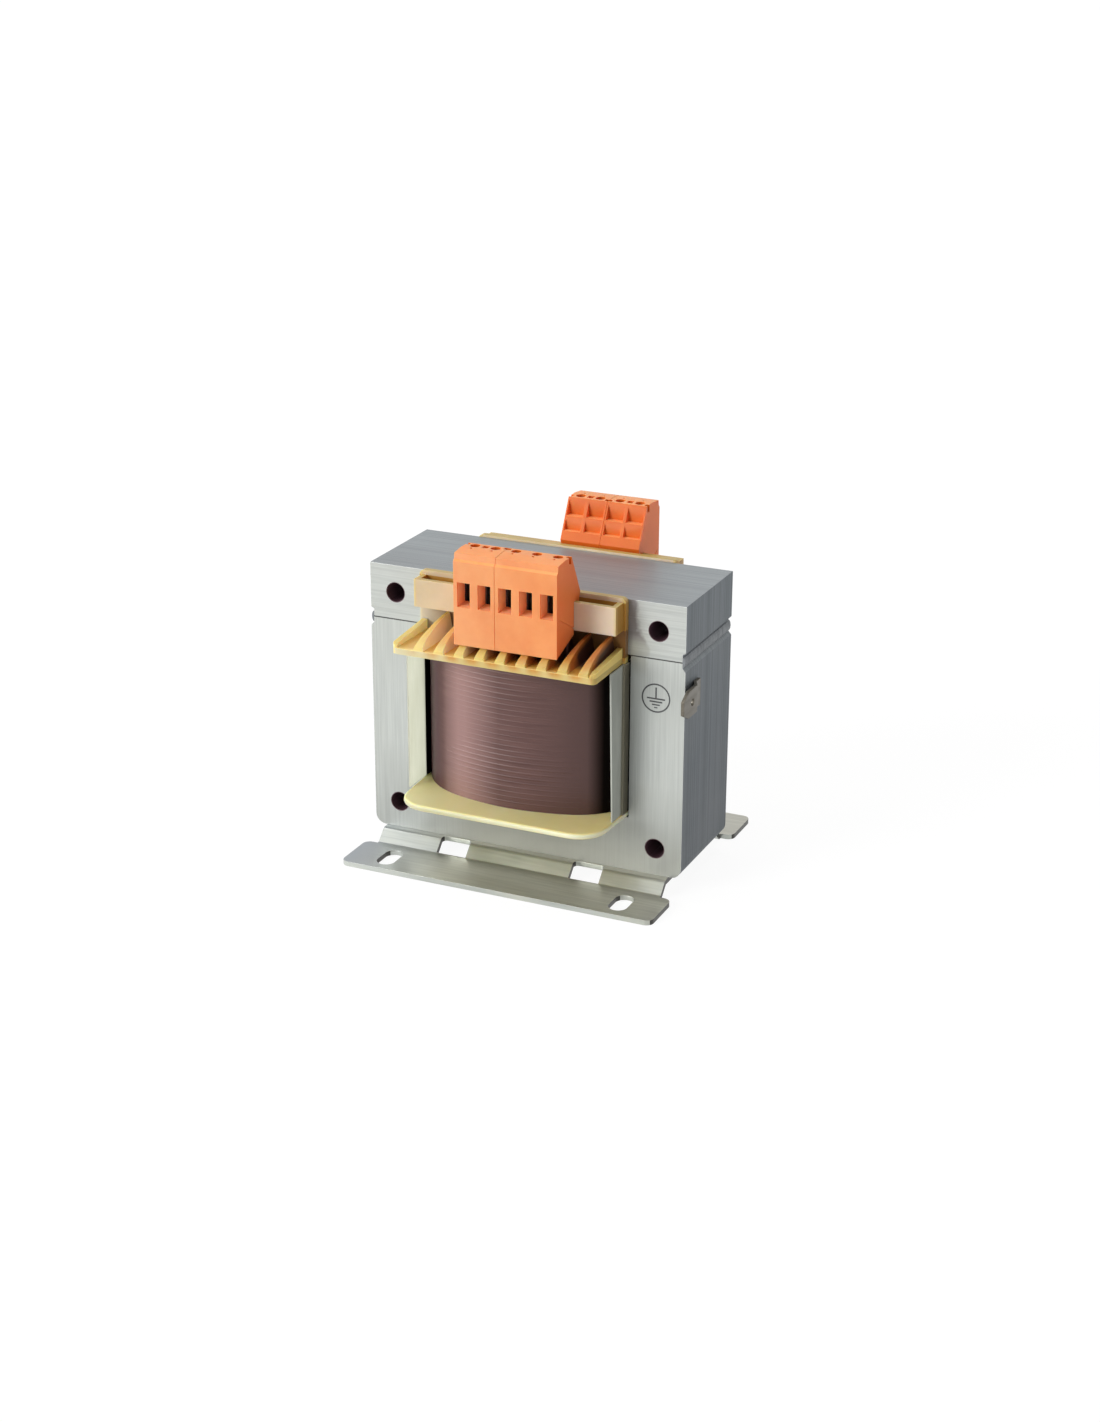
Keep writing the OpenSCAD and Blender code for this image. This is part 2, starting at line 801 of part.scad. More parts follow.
// The blade, joggled clear of the core and welded to its right side by the pad
module earth_tab() {
    side_x = core_w / 2;
    blade_y = -core_y - tab_reach;
    bend_y = blade_y + tab_reach + tab_joggle_set;
    color(tin) on_feet() intersection() {
        translate([0, 0, tab_z - tab_w / 2]) linear_extrude(tab_w) polygon([
            [side_x, bend_y + tab_joggle + tab_pad_l],
            [side_x, bend_y + tab_joggle],
            [side_x + tab_gap, bend_y],
            [side_x + tab_gap, blade_y],
            [side_x + tab_gap + tab_t, blade_y],
            [side_x + tab_gap + tab_t, bend_y],
            [side_x + tab_t, bend_y + tab_joggle],
            [side_x + tab_t, bend_y + tab_joggle + tab_pad_l]
        ]);
        tab_face(blade_y, bend_y + tab_joggle + tab_pad_l);
    }
}

// The tab seen from the side: chamfered at the tip, with its small hole
module tab_face(tip_y, end_y) {
    tip = tab_tip_share * tab_w / 2;
    along_x(core_w / 2 - cut, tab_gap + tab_t + 2 * cut) difference() {
        polygon([
            [tip_y, tab_z - tip],
            [tip_y + tab_taper_l, tab_z - tab_w / 2],
            [end_y, tab_z - tab_w / 2],
            [end_y, tab_z + tab_w / 2],
            [tip_y + tab_taper_l, tab_z + tab_w / 2],
            [tip_y, tab_z + tip]
        ]);
        translate([tip_y + tab_hole_set, tab_z]) circle(d = tab_hole_d);
    }
}

e_core();
yoke();
weld_bead(-1);  // weld_bead_left
weld_bead(1);  // weld_bead_right
foot(-1);  // front_foot
foot(1);  // rear_foot
bobbin();
primary_winding();
interwinding_insulation();
secondary_winding();
window_liner(-1, left_liner_proud);  // window_liner_left
window_liner(1, right_liner_proud);  // window_liner_right
winding_side_sheet();
earth_tab();
housing(-1, primary_x0, 2, [1]);  // primary_housing_2_pole
housing(-1, primary_x0 + 2 * pole_pitch, 3, []);  // primary_housing_3_pole
housing(1, secondary_x0, 2, [1]);  // secondary_housing_left
housing(1, secondary_x0 + 2 * pole_pitch, 2, [1]);  // secondary_housing_right
for (pole = [1:primary_poles]) {
    clamp_box(-1, primary_pole_x[pole - 1]);
    clamp_screw(-1, primary_pole_x[pole - 1]);
    lead(-1, primary_pole_x[pole - 1]);
}
for (pole = [1:secondary_poles]) {
    clamp_box(1, secondary_pole_x[pole - 1]);
    clamp_screw(1, secondary_pole_x[pole - 1]);
    lead(1, secondary_pole_x[pole - 1]);
}
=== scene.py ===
"""Looks of a laminated chassis transformer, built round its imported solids, in metres."""
import math

import bmesh
import bpy
from mathutils import Matrix, Vector


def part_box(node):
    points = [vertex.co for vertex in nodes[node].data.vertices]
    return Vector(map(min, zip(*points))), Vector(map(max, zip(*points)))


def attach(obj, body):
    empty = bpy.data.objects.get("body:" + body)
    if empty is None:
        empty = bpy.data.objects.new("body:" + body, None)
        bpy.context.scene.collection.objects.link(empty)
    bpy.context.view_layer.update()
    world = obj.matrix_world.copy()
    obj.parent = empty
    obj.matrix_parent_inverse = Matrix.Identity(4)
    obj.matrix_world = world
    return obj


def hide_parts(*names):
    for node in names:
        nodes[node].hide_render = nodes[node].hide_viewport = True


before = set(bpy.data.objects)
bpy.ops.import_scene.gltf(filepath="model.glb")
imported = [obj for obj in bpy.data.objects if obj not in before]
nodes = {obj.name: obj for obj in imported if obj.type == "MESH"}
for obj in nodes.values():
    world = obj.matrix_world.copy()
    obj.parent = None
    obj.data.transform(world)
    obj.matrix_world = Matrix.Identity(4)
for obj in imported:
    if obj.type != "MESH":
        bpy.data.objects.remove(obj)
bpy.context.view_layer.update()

MM = 0.001


# E laminations.
# The stack of E-shaped silicon-steel sheets, 0.5 mm thick, punched and pressed together.
# Their rolled faces show a grain along the limbs, and their cut edges are darker and
# striped sheet by sheet.
sheet_pitch = 0.5 * MM
core_edge_break = 0.14 * MM
core_low, core_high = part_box("e_core")
yoke_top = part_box("yoke")[1].z
core_side, core_front = core_high.x, core_low.y
joint_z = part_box("yoke")[0].z
joint_half = 0.15 * MM
hole_x = core_side / 12 * 10
hole_mid = (core_low.z + yoke_top) / 2
hole_rise = (yoke_top - core_low.z) / 10 * 4
bore_r = 2.42 * MM


def tone(code):
    """A colour from its six hexadecimal digits, made linear."""
    parts = [int(code[i:i + 2], 16) / 255 for i in (0, 2, 4)]
    return tuple(p / 12.92 if p <= 0.04045 else ((p + 0.055) / 1.055) ** 2.4 for p in parts)


class Finish:
    """A material with its nodes, built one step at a time."""

    def __init__(self, name, colour, roughness, metallic=0.0):
        self.material = bpy.data.materials.new(name)
        self.material.use_nodes = True
        self.tree = self.material.node_tree
        self.shader = self.tree.nodes["Principled BSDF"]
        self.shader.inputs["Base Color"].default_value = (*tone(colour), 1)
        self.shader.inputs["Roughness"].default_value = roughness
        self.shader.inputs["Metallic"].default_value = metallic
        self.place = self.add("ShaderNodeTexCoord").outputs["Object"]

    def add(self, kind, **settings):
        node = self.tree.nodes.new(kind)
        for name, value in settings.items():
            setattr(node, name, value)
        return node

    def join(self, source, target):
        self.tree.links.new(source, target)

    def scaled(self, scale):
        """Object coordinates, multiplied along each axis."""
        node = self.add("ShaderNodeMapping")
        self.join(self.place, node.inputs["Vector"])
        node.inputs["Scale"].default_value = scale
        return node.outputs["Vector"]

    def noise(self, scale, detail=3.0, rough=0.55):
        """Noise whose grain is stretched by the scale's three numbers, per metre."""
        node = self.add("ShaderNodeTexNoise")
        self.join(self.scaled(scale), node.inputs["Vector"])
        node.inputs["Scale"].default_value = 1.0
        node.inputs["Detail"].default_value = detail
        node.inputs["Roughness"].default_value = rough
        return node.outputs["Fac"]

    def math(self, operation, first, second=0.0):
        node = self.add("ShaderNodeMath", operation=operation)
        for socket, value in zip(node.inputs, (first, second)):
            if isinstance(value, (int, float)):
                socket.default_value = value
            else:
                self.join(value, socket)
        return node.outputs[0]

    def range(self, value, low, high, to_low=0.0, to_high=1.0):
        node = self.add("ShaderNodeMapRange")
        self.join(value, node.inputs["Value"])
        for name, number in zip(("From Min", "From Max", "To Min", "To Max"),
                                (low, high, to_low, to_high)):
            node.inputs[name].default_value = number
        return node.outputs["Result"]

    def mix(self, factor, first, second, blend="MIX"):
        node = self.add("ShaderNodeMix", data_type="RGBA", blend_type=blend)
        if isinstance(factor, (int, float)):
            node.inputs[0].default_value = factor
        else:
            self.join(factor, node.inputs[0])
        for socket, value in ((node.inputs[6], first), (node.inputs[7], second)):
            if isinstance(value, str):
                socket.default_value = (*tone(value), 1)
            else:
                self.join(value, socket)
        return node.outputs[2]

    def axis(self, vector, name):
        node = self.add("ShaderNodeSeparateXYZ")
        self.join(vector, node.inputs[0])
        return node.outputs[name]

    def at(self, name):
        """One object coordinate."""
        return self.axis(self.place, name)

    def away(self, name):
        """The distance from the middle along one axis."""
        return self.math("ABSOLUTE", self.at(name))

    def facing(self, name):
        """How much the surface faces along one axis, either way."""
        normal = self.add("ShaderNodeNewGeometry").outputs["Normal"]
        return self.math("ABSOLUTE", self.axis(normal, name))

    def both(self, first, second):
        return self.math("MULTIPLY", first, second)

    def paint(self, colour):
        self.join(colour, self.shader.inputs["Base Color"])

    def rough(self, value):
        self.join(value, self.shader.inputs["Roughness"])

    def bump(self, height, depth, strength=1.0):
        node = self.add("ShaderNodeBump")
        self.join(height, node.inputs["Height"])
        node.inputs["Distance"].default_value = depth
        node.inputs["Strength"].default_value = strength
        self.join(node.outputs["Normal"], self.shader.inputs["Normal"])


def stacked_steel(name, grain):
    """Rolled faces with a grain and cut edges striped by the sheets, with painted shade in the bores,
    lower down, on the sides and beside the rail, and painted highlights on the corners.
    """
    steel = Finish(name, "BCC0BE", 0.4, 0.5)
    on_face = steel.math("GREATER_THAN", steel.facing("Y"), 0.5)
    on_top = steel.math("GREATER_THAN", steel.facing("Z"), 0.5)
    streaks = steel.noise(grain, 4.0, 0.6)
    clouds = steel.noise((45, 45, 45), 3.0)
    face = steel.mix(steel.range(streaks, 0.3, 0.7), "ACB0AD", "C2C6C2")
    face = steel.mix(steel.range(clouds, 0.35, 0.65, 0.0, 0.3), face, "AEB0A9")
    # Painted shade: the rolled faces are painted darker towards the bottom, least towards the ends.
    low = steel.both(steel.range(steel.at("Z"), 26 * MM, 8 * MM),
                     steel.range(steel.at("X"), -34 * MM, -14 * MM, 0.25, 0.85))
    low = steel.both(low, steel.range(steel.at("X"), 8 * MM, 34 * MM, 1.0, 0.6))
    face = steel.mix(low, face, "7B7B73")
    # Painted shadow: a ragged patch right of the bobbin's rail, dark at the top and brownish lower down,
    # stands in for the shadow of the rail and terminals.
    ragged = steel.math("ADD", steel.at("X"), steel.both(
        steel.math("SUBTRACT", steel.noise((150, 150, 150), 4.0, 0.6), 0.5), 6 * MM))
    upper = steel.range(steel.at("Z"), 58 * MM, 61 * MM)
    past_edge = steel.math("SUBTRACT", ragged, steel.range(upper, 0.0, 1.0, 30.5 * MM, 27.4 * MM))
    rail_shadow = steel.both(steel.range(past_edge, 0.5 * MM, -0.5 * MM), steel.both(
        steel.range(steel.at("Z"), 51 * MM, 55 * MM), steel.math("GREATER_THAN", ragged, 20 * MM)))
    rail_shadow = steel.both(rail_shadow, steel.math("LESS_THAN", steel.at("Y"), 0.0))
    face = steel.mix(steel.both(rail_shadow, steel.range(upper, 0.0, 1.0, 0.45, 0.7)), face,
                     steel.mix(upper, "97968A", "62575A"))
    depth = steel.math("DIVIDE", steel.at("Y"), sheet_pitch)
    sheet = steel.add("ShaderNodeTexWhiteNoise", noise_dimensions="1D")
    steel.join(steel.math("FLOOR", depth), sheet.inputs["W"])
    seam = steel.range(steel.math("PINGPONG", depth, 0.5), 0.0, 0.14)
    # Painted shade: the cut edges on the sides are painted darker than those on top, and darker towards
    # the bottom.
    side_edge = steel.mix(steel.range(steel.at("Z"), 8 * MM, 72 * MM),
                          steel.mix(sheet.outputs["Value"], "5E6468", "70757A"),
                          steel.mix(sheet.outputs["Value"], "6F767A", "83898E"))
    top_edge = steel.mix(sheet.outputs["Value"], "8A9093", "979DA0")
    edge = steel.mix(on_top, side_edge, top_edge)
    edge = steel.mix(steel.range(clouds, 0.35, 0.7, 0.0, 0.35), edge, "85888A")
    edge = steel.mix(steel.range(seam, 0.0, 1.0, 0.35, 0.0), edge, "4A4E51")
    # Painted shade: the insides of the bolt holes are painted dark plum.
    from_hole = steel.math("SQRT", steel.math(
        "ADD",
        steel.math("POWER", steel.math("SUBTRACT", steel.away("X"), hole_x), 2.0),
        steel.math("POWER", steel.math("SUBTRACT", steel.math(
            "ABSOLUTE", steel.math("SUBTRACT", steel.at("Z"), hole_mid)), hole_rise), 2.0)))
    in_bore = steel.math("LESS_THAN", from_hole, bore_r)
    skin = steel.mix(on_face, edge, face)
    # Painted highlight: the rounded corners between the front and the sides are painted nearly white.
    corner = steel.math("GREATER_THAN", steel.both(steel.facing("X"), steel.facing("Y")), 0.25)
    skin = steel.mix(corner, skin, "DDE1DF")
    at_joint = steel.math("LESS_THAN", steel.math(
        "ABSOLUTE", steel.math("SUBTRACT", steel.at("Z"), joint_z)), joint_half)
    skin = steel.mix(steel.both(at_joint, 0.85), skin, "2C2A2A")
    steel.paint(steel.mix(in_bore, skin, "543B43"))
    on_side = steel.math("GREATER_THAN", steel.facing("X"), 0.5)
    steel.join(steel.range(in_bore, 0, 1, 0.5, 0.0), steel.shader.inputs["Metallic"])
    steel.join(steel.range(on_side, 0, 1, 0.5, 0.28), steel.shader.inputs["Specular IOR Level"])
    steel.rough(steel.math("MAXIMUM", steel.range(streaks, 0.3, 0.7, 0.34, 0.48),
                           steel.both(on_side, 0.62)))
    off_face = steel.math("SUBTRACT", 1.0, on_face)
    height = steel.math("ADD", steel.both(seam, off_face),
                        steel.both(streaks, steel.both(on_face, 0.3)))
    steel.bump(height, 0.03 * MM, 0.6)
    return steel.material


def rounded(form, width, segments, sharp, chosen=lambda edge: True):
    """Rounds the chosen ones of a form's sharp edges."""
    edges = [e for e in form.edges if e.calc_face_angle(0) > math.radians(sharp) and chosen(e)]
    bmesh.ops.bevel(form, geom=edges, offset=width, offset_type="OFFSET", segments=segments,
                    profile=0.5, affect="EDGES", clamp_overlap=True, material=-1)


def softened(node, name, width, segments=2, sharp=30, material=None, first=None):
    """A copy of a solid with its sharp edges broken, standing in its place."""
    form = bmesh.new()
    form.from_mesh(nodes[node].data)
    bmesh.ops.remove_doubles(form, verts=form.verts, dist=0.002 * MM)
    bmesh.ops.dissolve_limit(form, angle_limit=math.radians(0.5), verts=form.verts,
                             edges=form.edges)
    if first:
        first(form)
    rounded(form, width, segments, sharp)
    piece = finished(form, name, material)
    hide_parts(node)
    return piece


def finished(form, name, material, smooth=40):
    """An object from a form, shaded smooth over its gentle edges."""
    bmesh.ops.remove_doubles(form, verts=form.verts, dist=0.001 * MM)
    mesh = bpy.data.meshes.new(name)
    form.to_mesh(mesh)
    form.free()
    mesh.shade_smooth()
    mesh.set_sharp_from_angle(angle=math.radians(smooth))
    piece = bpy.data.objects.new(name, mesh)
    bpy.context.scene.collection.objects.link(piece)
    piece.data.materials.append(material)
    weighted = piece.modifiers.new("even_normals", "WEIGHTED_NORMAL")
    weighted.keep_sharp = True
    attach(piece, "root")
    return piece


def dress(node, finish):
    """Gives a solid that keeps its own shape its finish."""
    nodes[node].data.materials.clear()
    nodes[node].data.materials.append(finish.material)


upright_grain = stacked_steel("e_lamination_steel", (2600, 2600, 45))
e_stack = softened("e_core", "e_lamination_stack", core_edge_break, material=upright_grain)


# I laminations.
# The stack of straight sheets that closes the E stack after the bobbin has been put on.
# Its rolled grain runs along the yoke.
level_grain = stacked_steel("i_lamination_steel", (45, 2600, 2600))
i_stack = softened("yoke", "i_lamination_stack", core_edge_break, material=level_grain)


# Weld beads.
# One bead on each side joins the E and the I sheets, laid from front to back in a groove.
weld = Finish("weld_metal", "6A6D70", 0.5, 0.6)
weld.paint(weld.mix(weld.range(weld.noise((300, 900, 300)), 0.3, 0.7), "63676A", "7F8386"))
weld.bump(weld.math("PINGPONG", weld.at("Y"), 0.5 * MM), 0.25 * MM, 0.6)
for side in ("left", "right"):
    dress("weld_bead_" + side, weld)


# Feet.
# Two strips of zinc-plated sheet, punched, bent twice and spot-welded under the core.
foot_edge_break = 0.22 * MM
foot_steel = Finish("plated_sheet", "BFC4C1", 0.34, 0.8)
brushing = foot_steel.noise((60, 1500, 1500), 4.0, 0.6)
stains = foot_steel.noise((70, 120, 120), 3.0)
# Painted shade: the plating is painted lighter at the left end and darker towards the middle.
plated = foot_steel.mix(foot_steel.range(foot_steel.at("X"), -38 * MM, -16 * MM),
                        foot_steel.mix(foot_steel.range(brushing, 0.3, 0.7), "BBC0BC", "D1D5D1"),
                        foot_steel.mix(foot_steel.range(brushing, 0.3, 0.7), "A6AAA4", "BABEB8"))
plated = foot_steel.mix(foot_steel.range(stains, 0.4, 0.7, 0, 0.5), plated, "BDBDAE")
# Painted reflection: the faces that look up are painted darker and greyer, bluish towards the left end,
# for the dark they reflect.
level = foot_steel.math("GREATER_THAN", foot_steel.facing("Z"), 0.9)
painted_dark_reflection = foot_steel.mix(foot_steel.range(brushing, 0.3, 0.7), "A9A89E", "BEBDB2")
painted_dark_reflection = foot_steel.mix(foot_steel.range(foot_steel.at("X"), -38 * MM, -14 * MM), "9DA2A6", painted_dark_reflection)
skin = foot_steel.mix(level, plated, painted_dark_reflection)
# Painted shade: the cut edges that face sideways are painted nearly black.
cut_edge_shade = foot_steel.math("GREATER_THAN", foot_steel.facing("X"), 0.75)
foot_steel.paint(foot_steel.mix(cut_edge_shade, skin, "4A4946"))
foot_steel.rough(foot_steel.range(stains, 0.3, 0.7, 0.28, 0.42))
foot_steel.bump(brushing, 0.03 * MM, 0.5)
for side in ("front", "rear"):
    foot = softened(side + "_foot", side + "_bent_foot", foot_edge_break,
                    material=foot_steel.material)


# Bobbin.
# One moulding in uncoloured glass-filled nylon: barrel, two flanges, combs and the slotted
# rails that hold the terminals. Its colour carries painted light and shade: the combs are
# painted amber on the fins and dark between them, more so on the right under the terminals.
flange_top, fin_rise = 55.7 * MM, 4.7 * MM
flange_edge, wall_face = 31.2 * MM, 15.9 * MM
rail_low, rail_top, slot_edge = 61.9 * MM, 68.3 * MM, 18.85 * MM
end_rib_side = 23.3 * MM
first_pole, second_pole = (sum(c.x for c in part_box("primary_clamp_" + n)) / 2 for n in "12")
fin_pitch, fin_start = second_pole - first_pole, first_pole - 0.4 * MM
nylon = Finish("natural_nylon", "DAD28F", 0.38)
rise, side, across = nylon.at("Z"), nylon.away("Y"), nylon.at("X")
flow = nylon.noise((130, 130, 130), 4.0)
fine = nylon.range(flow, 0.3, 0.7)
level = nylon.range(nylon.facing("Z"), 0.4, 0.8)
# Painted light and shade: the lower flange's top is painted yellower towards the right, and its rounded
# nose lighter towards the right end for a highlight, in a different tone from the top.
upper_side = nylon.mix(nylon.range(across, 0.0, 22 * MM), nylon.mix(fine, "E6DF9F", "EDE7B0"),
                       nylon.mix(fine, "DDCE86", "E8DA9C"))
nose = nylon.mix(nylon.range(across, -14 * MM, 22 * MM), nylon.mix(fine, "BAB892", "C4C29E"),
                 nylon.mix(fine, "DEDCBC", "E6E4C8"))
low_flange = nylon.mix(level, nose, upper_side)
# Painted light and shade: the upper flange is painted darker towards the right, and its front face paler
# than its top towards the left, for a highlight.
top_flange = nylon.mix(nylon.range(across, -12 * MM, 20 * MM), nylon.mix(fine, "D3BF69", "DFCD7F"),
                       nylon.mix(fine, "BCA257", "C8B066"))
outer_edge = nylon.both(nylon.math("GREATER_THAN", nylon.facing("Y"), 0.9),
                        nylon.math("LESS_THAN", rise, flange_top))
top_flange = nylon.mix(outer_edge, top_flange, nylon.mix(
    nylon.range(across, -24 * MM, -6 * MM), nylon.mix(fine, "C9C19C", "D4CCAA"),
    nylon.mix(fine, "C0AA66", "CBB67A")))
from_fin = nylon.math("PINGPONG", nylon.math("SUBTRACT", across, fin_start + 0.7 * MM),
                      fin_pitch / 2)
# The upper flange's front face is painted amber below each valley between the fins, towards the left.
amber_below_valleys = nylon.both(nylon.range(rise, flange_top - 1.7 * MM, flange_top - 0.2 * MM),
                      nylon.range(from_fin, 0.3 * MM, 1.9 * MM, 0.0, 0.95))
amber_below_valleys = nylon.both(nylon.both(outer_edge, amber_below_valleys), nylon.range(across, -24 * MM, -10 * MM))
top_flange = nylon.mix(amber_below_valleys, top_flange, "BE8733")
inward = nylon.range(side, flange_edge, wall_face)
crest = nylon.math("ADD", nylon.both(nylon.math("POWER", inward, 0.52), 0.87 * fin_rise),
                   flange_top + 0.13 * fin_rise)
sunk = nylon.math("SUBTRACT", crest, rise)
# Painted shade: the comb is painted darker towards the right, under the terminals, but not on the end
# ribs.
right_shade = nylon.range(across, -19 * MM, 5 * MM, 0.12, 1.0)
between = nylon.math("LESS_THAN", nylon.away("X"), end_rib_side)
right_shade = nylon.both(right_shade, between)
wandering = nylon.math("ADD", inward, nylon.range(flow, 0.3, 0.7, -0.09, 0.09))
# Painted shade: deep in the valleys and further back from the flange's edge, the comb is painted amber
# and then dark brown.
dark = nylon.both(right_shade, nylon.both(nylon.range(wandering, 0.03, 0.5),
                                     nylon.range(sunk, 0.0 * MM, 1.5 * MM, 0.42, 1.0)))
# Painted light: the sunk parts between the fins are painted lighter to make up for their shade.
comb = nylon.mix(nylon.both(between, nylon.range(sunk, 0.2 * MM, 1.2 * MM)), top_flange,
                 nylon.mix(fine, "EEDB8E", "F6E8A4"))
# Painted shade: the comb is painted amber further back from the flange's edge, more towards the right,
# under the terminals.
painted_amber_shade = nylon.both(nylon.range(across, -22 * MM, -6 * MM),
                    nylon.range(wandering, -0.04, 0.22, 0.0, 0.85))
comb = nylon.mix(nylon.both(between, painted_amber_shade), comb, "C48A38")
comb = nylon.mix(nylon.range(dark, 0.02, 0.3), comb, "BC7434")
# Painted shade: the floors of the valleys are painted amber.
valley = nylon.both(between, nylon.both(nylon.range(nylon.facing("Z"), 0.5, 0.9),
                                        nylon.range(sunk, 0.5 * MM, 2 * MM, 0.0, 0.75)))
comb = nylon.mix(valley, comb, "C9983A")
# Painted light: the fins' sides towards the left are painted nearly white, for light shining through
# them.
lit_flank = nylon.both(nylon.range(nylon.facing("X"), 0.4, 0.9),
                       nylon.range(across, -12 * MM, 2 * MM, 0.6, 0.0))
comb = nylon.mix(lit_flank, comb, "FFFBE0")
# Painted light: the sides of the right end rib are painted a lighter yellow.
end_rib = nylon.math("GREATER_THAN", across, end_rib_side)
comb = nylon.mix(nylon.both(end_rib, nylon.range(nylon.facing("X"), 0.4, 0.9)), comb, "E9CE76")
# Painted shade: dark brown deepest in the valleys.
comb = nylon.mix(nylon.range(dark, 0.42, 0.85), comb, "462820")
# Painted shade: the wall under the rail is painted darker and browner towards the right, under the
# terminals.
wall = nylon.mix(nylon.range(across, -25 * MM, -18 * MM), "BFB6A2", "857058")
wall = nylon.mix(nylon.range(across, -2 * MM, 14 * MM), wall, "7A5526")
rail = nylon.mix(nylon.range(across, -10 * MM, 18 * MM), nylon.mix(fine, "C2B08F", "CEBE9D"),
                 nylon.mix(fine, "CFBCA4", "DBCAB2"))
# Painted shade: the rail's top and end faces are painted darker and yellower than its front.
rail = nylon.mix(nylon.range(nylon.facing("Z"), 0.3, 0.8), rail,
                 nylon.mix(fine, "B29A56", "C2AA66"))
rail = nylon.mix(nylon.range(nylon.away("X"), 24 * MM, 25.2 * MM), rail, "CBB466")
rail = nylon.mix(nylon.range(nylon.facing("X"), 0.3, 0.8), rail, "C19B58")
# Painted shade: the insides of the rail's slots are painted a darker amber.
in_slot = nylon.both(nylon.math("LESS_THAN", side, slot_edge),
                     nylon.math("LESS_THAN", rise, rail_top))
rail = nylon.mix(in_slot, rail, nylon.mix(fine, "A87A2E", "B98C3E"))
on_wall = nylon.math("LESS_THAN", side, wall_face + 0.15 * MM)
body = nylon.mix(nylon.range(rise, 30 * MM, 45 * MM), low_flange, top_flange)
body = nylon.mix(nylon.math("GREATER_THAN", rise, flange_top - 0.1 * MM), body,
                 nylon.mix(on_wall, comb, wall))
nylon.paint(nylon.mix(nylon.math("GREATER_THAN", rise, rail_low), body, rail))
nylon.shader.inputs["Subsurface Weight"].default_value = 0.5
nylon.shader.inputs["Subsurface Radius"].default_value = (1.0, 0.7, 0.3)
nylon.shader.inputs["Subsurface Scale"].default_value = 1.8 * MM
nylon.bump(nylon.noise((1500, 1500, 1500), 2.0), 0.02 * MM, 0.4)
nose_round, moulded_edge = 0.6 * MM, 0.25 * MM
low_flange_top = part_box("secondary_winding")[0].z


def round_nose(form):
    """Rounds the lower flange's outline outside the core."""
    rounded(form, nose_round, 3, 50, lambda edge: all(
        v.co.z < low_flange_top + moulded_edge for v in edge.verts) and any(
        abs(v.co.y) > -core_front + 2 * MM for v in edge.verts)
        and abs(edge.verts[0].co.z - edge.verts[1].co.z) < moulded_edge)


bobbin = softened("bobbin", "nylon_bobbin", moulded_edge, material=nylon.material,
                  first=round_nose)


# Windings.
# Two layers of enamelled copper wire, with film between them. The outer one is wound here
# turn by turn as one helix of real wire, and impregnating varnish fills its valleys.
wire_d = 1.26 * MM
varnish_sink = 0.08 * MM
plan_steps = 96
coil_low, coil_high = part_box("secondary_winding")
enamel = Finish("wire_enamel", "55393A", 0.45)
wound = enamel.mix(enamel.range(enamel.noise((90, 90, 900), 3.0), 0.3, 0.7), "513532", "60433F")
# Painted shade: the coil's front is painted nearly black near its right side, beside the sheet.
gap_shade = enamel.both(enamel.range(enamel.at("X"), 18.2 * MM, 21.2 * MM),
                     enamel.math("LESS_THAN", enamel.at("Y"), 0.0))
# Painted shade: the wire is painted darker towards the right.
wound = enamel.mix(enamel.range(enamel.at("X"), 4 * MM, 15 * MM), wound, "503734")
# Painted highlight: a lighter band on the left of the coil, with more coat there.
painted_sheen = enamel.both(enamel.range(enamel.at("X"), -18 * MM, -13 * MM),
                       enamel.range(enamel.at("X"), -2 * MM, -11 * MM))
wound = enamel.mix(painted_sheen, wound, "8A6965")
# Painted shade: the wire is painted dark at the coil's left edge.
wound = enamel.mix(enamel.range(enamel.at("X"), -16.5 * MM, -20 * MM), wound, "42202A")
enamel.paint(enamel.mix(gap_shade, wound, "0A0504"))
coat = enamel.range(painted_sheen, 0, 1, 0.18, 0.35)
enamel.join(enamel.both(coat, enamel.range(gap_shade, 0, 1, 1.0, 0.0)),
            enamel.shader.inputs["Coat Weight"])
enamel.join(enamel.range(gap_shade, 0, 1, 0.3, 0.05), enamel.shader.inputs["Specular IOR Level"])
enamel.shader.inputs["Coat Roughness"].default_value = 0.35
coil_shares = [(1, 0), (1, 0.27), (1, 0.53), (0.94, 0.65), (0.82, 0.775), (0.68, 0.865),
               (0.5, 0.93), (0.25, 0.98), (0, 1)]


def coil_plan(half_x, half_y):
    """The coil's outline as evenly spaced points on a curve through its corner points."""
    quarter = [Vector((x * half_x, y * half_y)) for x, y in coil_shares]
    corners = (quarter[:-1] + [Vector((-p.x, p.y)) for p in quarter[:0:-1]]
               + [Vector((-p.x, -p.y)) for p in quarter[:-1]]
               + [Vector((p.x, -p.y)) for p in quarter[:0:-1]])
    dense = []
    for i in range(len(corners)):
        a, b, c, d = (corners[(i + k) % len(corners)] for k in (-1, 0, 1, 2))
        bend = min((b - a).length, (c - b).length, (d - c).length) / 6
        lean_b, lean_c = (c - a).normalized() * bend * 2, (d - b).normalized() * bend * 2
        for k in range(12):
            t = k / 12
            u = 1 - t
            dense.append(b * u ** 3 + (b + lean_b) * 3 * u * u * t
                         + (c - lean_c) * 3 * u * t * t + c * t ** 3)
    run = [0]
    for a, b in zip(dense, dense[1:] + dense[:1]):
        run.append(run[-1] + (b - a).length)
    even, k = [], 0
    for i in range(plan_steps):
        along = i / plan_steps * run[-1]
        while run[k + 1] < along:
            k += 1
        share = (along - run[k]) / (run[k + 1] - run[k])
        spot = dense[k].lerp(dense[(k + 1) % len(dense)], share)
        even.append(Vector((max(-half_x, min(half_x, spot.x)),
                            max(-half_y, min(half_y, spot.y)))))
    return even


